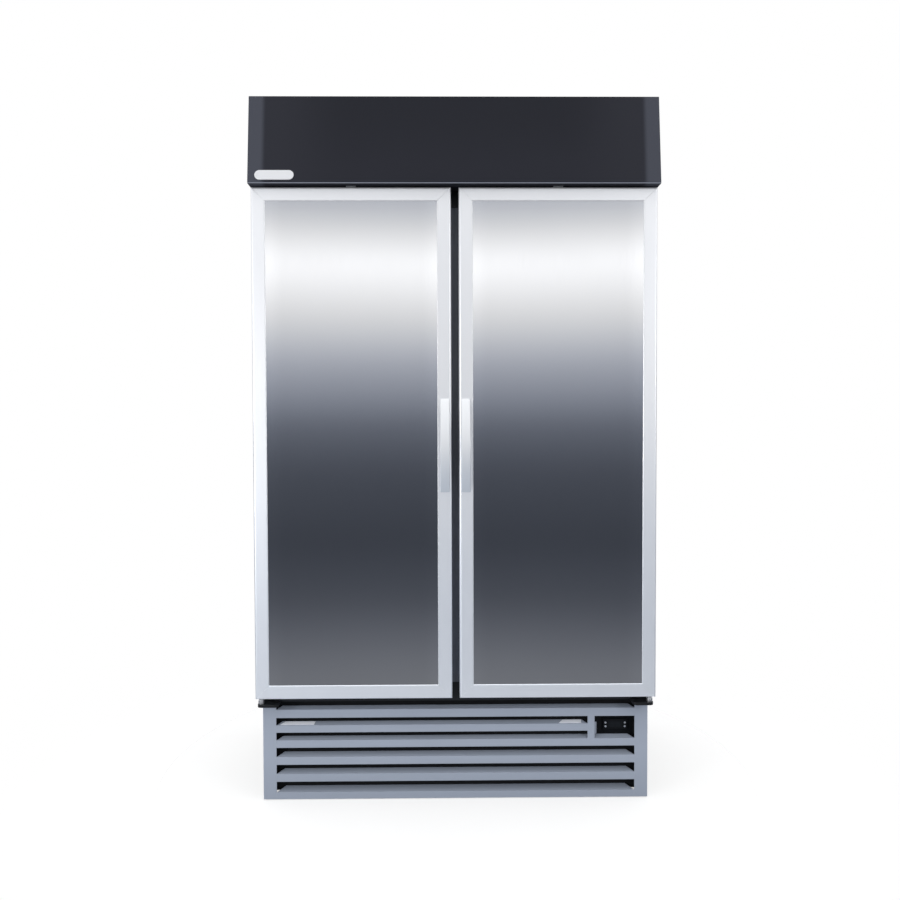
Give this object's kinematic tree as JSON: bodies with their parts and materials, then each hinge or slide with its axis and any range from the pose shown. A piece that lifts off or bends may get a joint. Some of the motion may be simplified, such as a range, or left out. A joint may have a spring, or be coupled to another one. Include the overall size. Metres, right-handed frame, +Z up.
{
  "type": "upright two-door bottle cooler",
  "caption": "Upright two-door bottle cooler: solid brushed steel doors in aluminium frames, bowed pulls, charcoal canopy, slatted plinth grille with a controller.",
  "frame": {"origin": "on the floor, at the centre of the overall width and depth", "axes": "+Z up, +X to the right seen from the front, the doors face -Y"},
  "size_m": [1.18, 0.71, 2.07],
  "materials": {
    "painted_skin": "semi-gloss paint",
    "galvanised_sheet": "galvanised",
    "foam": "rigid foam",
    "liner_white": "white coated",
    "frame_dark": "satin",
    "canopy_charcoal": "satin powder coat",
    "badge_white": "gloss",
    "satin_aluminium": "satin anodised",
    "brushed_stainless": "brushed",
    "grille_grey": "satin powder coat",
    "gasket_rubber": "matte",
    "zinc_steel": "zinc plated",
    "black_steel": "black paint",
    "black_plastic": "fine texture",
    "display_smoke": "gloss",
    "key_grey": "gloss",
    "wire_coated": "plastic coated wire",
    "light_diffuser": "opal",
    "coil_fins": "mill finish",
    "compressor_black": "gloss enamel",
    "copper": "drawn"
  },
  "bodies": {
    "cabinet": {"back_panel": "galvanised_sheet", "base_frame": "galvanised_sheet", "bottom_hinge_brackets": "black_steel", "cable_gland": "black_plastic", "canopy": "canopy_charcoal", "canopy_badge": "badge_white", "centre_mullion": "frame_dark", "compressor": "compressor_black", "condensate_tray": "black_plastic", "condenser_coil": "coil_fins", "condenser_shroud": "galvanised_sheet", "controller_bezel": "black_plastic", "controller_display": "display_smoke", "controller_panel": "black_plastic", "cover_screws": "zinc_steel", "door_catches": "zinc_steel", "evaporator_coil": "coil_fins", "evaporator_cover": "liner_white", "face_frame": "frame_dark", "fan_motors": "compressor_black", "grille_divider": "grille_grey", "grille_post_left": "grille_grey", "grille_post_right": "grille_grey", "grille_slats": "grille_grey", "inner_liner": "liner_white", "insulation": "foam", "interior_light": "light_diffuser", "outer_wrap": "painted_skin", "rear_grille": "galvanised_sheet", "refrigerant_lines": "copper", "shelf_clips": "zinc_steel", "shelf_uprights": "zinc_steel", "shelves_left": "wire_coated", "shelves_right": "wire_coated", "top_hinge_brackets": "zinc_steel"},
    "left_door": {"left_door_frame": "satin_aluminium", "left_door_panel": "brushed_stainless", "left_door_core": "foam", "left_door_inner_panel": "liner_white", "left_door_gasket": "gasket_rubber", "left_door_handle": "satin_aluminium", "left_door_bushes": "zinc_steel"},
    "right_door": {"right_door_frame": "satin_aluminium", "right_door_panel": "brushed_stainless", "right_door_core": "foam", "right_door_inner_panel": "liner_white", "right_door_gasket": "gasket_rubber", "right_door_handle": "satin_aluminium", "right_door_bushes": "zinc_steel"},
    "key_1": {"controller_key_1": "key_grey"},
    "key_2": {"controller_key_2": "key_grey"},
    "key_3": {"controller_key_3": "key_grey"},
    "key_4": {"controller_key_4": "key_grey"},
    "levelling_foot_front_left": {"foot_front_left": "black_plastic"},
    "levelling_foot_front_right": {"foot_front_right": "black_plastic"},
    "levelling_foot_rear_left": {"foot_rear_left": "black_plastic"},
    "levelling_foot_rear_right": {"foot_rear_right": "black_plastic"},
    "evaporator_fan_left_rotor": {"evaporator_fan_left": "black_plastic"},
    "evaporator_fan_right_rotor": {"evaporator_fan_right": "black_plastic"},
    "condenser_fan_rotor": {"condenser_fan": "coil_fins"}
  },
  "joints": [
    {"name": "left_door_hinge", "type": "hinge", "parent": "cabinet", "child": "left_door", "pos_m": [-0.574, -0.298, 1.068], "axis": [0, 0, -1], "range_deg": [0, 110], "stiffness_Nm_per_rad": 1.5, "springref_deg": -17.19},
    {"name": "right_door_hinge", "type": "hinge", "parent": "cabinet", "child": "right_door", "pos_m": [0.574, -0.298, 1.068], "axis": [0, 0, 1], "range_deg": [0, 110], "stiffness_Nm_per_rad": 1.5, "springref_deg": -17.19},
    {"name": "key_1_press", "type": "slide", "parent": "cabinet", "child": "key_1", "axis": [0, 1, 0], "range_m": [0, 0.0008], "stiffness_N_per_m": 300, "springref_m": -0.0005},
    {"name": "key_2_press", "type": "slide", "parent": "cabinet", "child": "key_2", "axis": [0, 1, 0], "range_m": [0, 0.0008], "stiffness_N_per_m": 300, "springref_m": -0.0005},
    {"name": "key_3_press", "type": "slide", "parent": "cabinet", "child": "key_3", "axis": [0, 1, 0], "range_m": [0, 0.0008], "stiffness_N_per_m": 300, "springref_m": -0.0005},
    {"name": "key_4_press", "type": "slide", "parent": "cabinet", "child": "key_4", "axis": [0, 1, 0], "range_m": [0, 0.0008], "stiffness_N_per_m": 300, "springref_m": -0.0005},
    {"name": "evaporator_fan_left_spin", "type": "hinge", "parent": "cabinet", "child": "evaporator_fan_left_rotor", "pos_m": [-0.215, 0.034, 1.908], "axis": [0, 1, 0], "continuous": true},
    {"name": "evaporator_fan_right_spin", "type": "hinge", "parent": "cabinet", "child": "evaporator_fan_right_rotor", "pos_m": [0.215, 0.034, 1.908], "axis": [0, 1, 0], "continuous": true},
    {"name": "condenser_fan_spin", "type": "hinge", "parent": "cabinet", "child": "condenser_fan_rotor", "pos_m": [0.14, -0.138, 0.14], "axis": [0, 1, 0], "continuous": true},
    {"name": "foot_front_left_adjust", "type": "slide", "parent": "cabinet", "child": "levelling_foot_front_left", "axis": [0, 0, -1], "range_m": [0, 0.02]},
    {"name": "foot_front_right_adjust", "type": "slide", "parent": "cabinet", "child": "levelling_foot_front_right", "axis": [0, 0, -1], "range_m": [0, 0.02]},
    {"name": "foot_rear_left_adjust", "type": "slide", "parent": "cabinet", "child": "levelling_foot_rear_left", "axis": [0, 0, -1], "range_m": [0, 0.02]},
    {"name": "foot_rear_right_adjust", "type": "slide", "parent": "cabinet", "child": "levelling_foot_rear_right", "axis": [0, 0, -1], "range_m": [0, 0.02]}
  ]
}
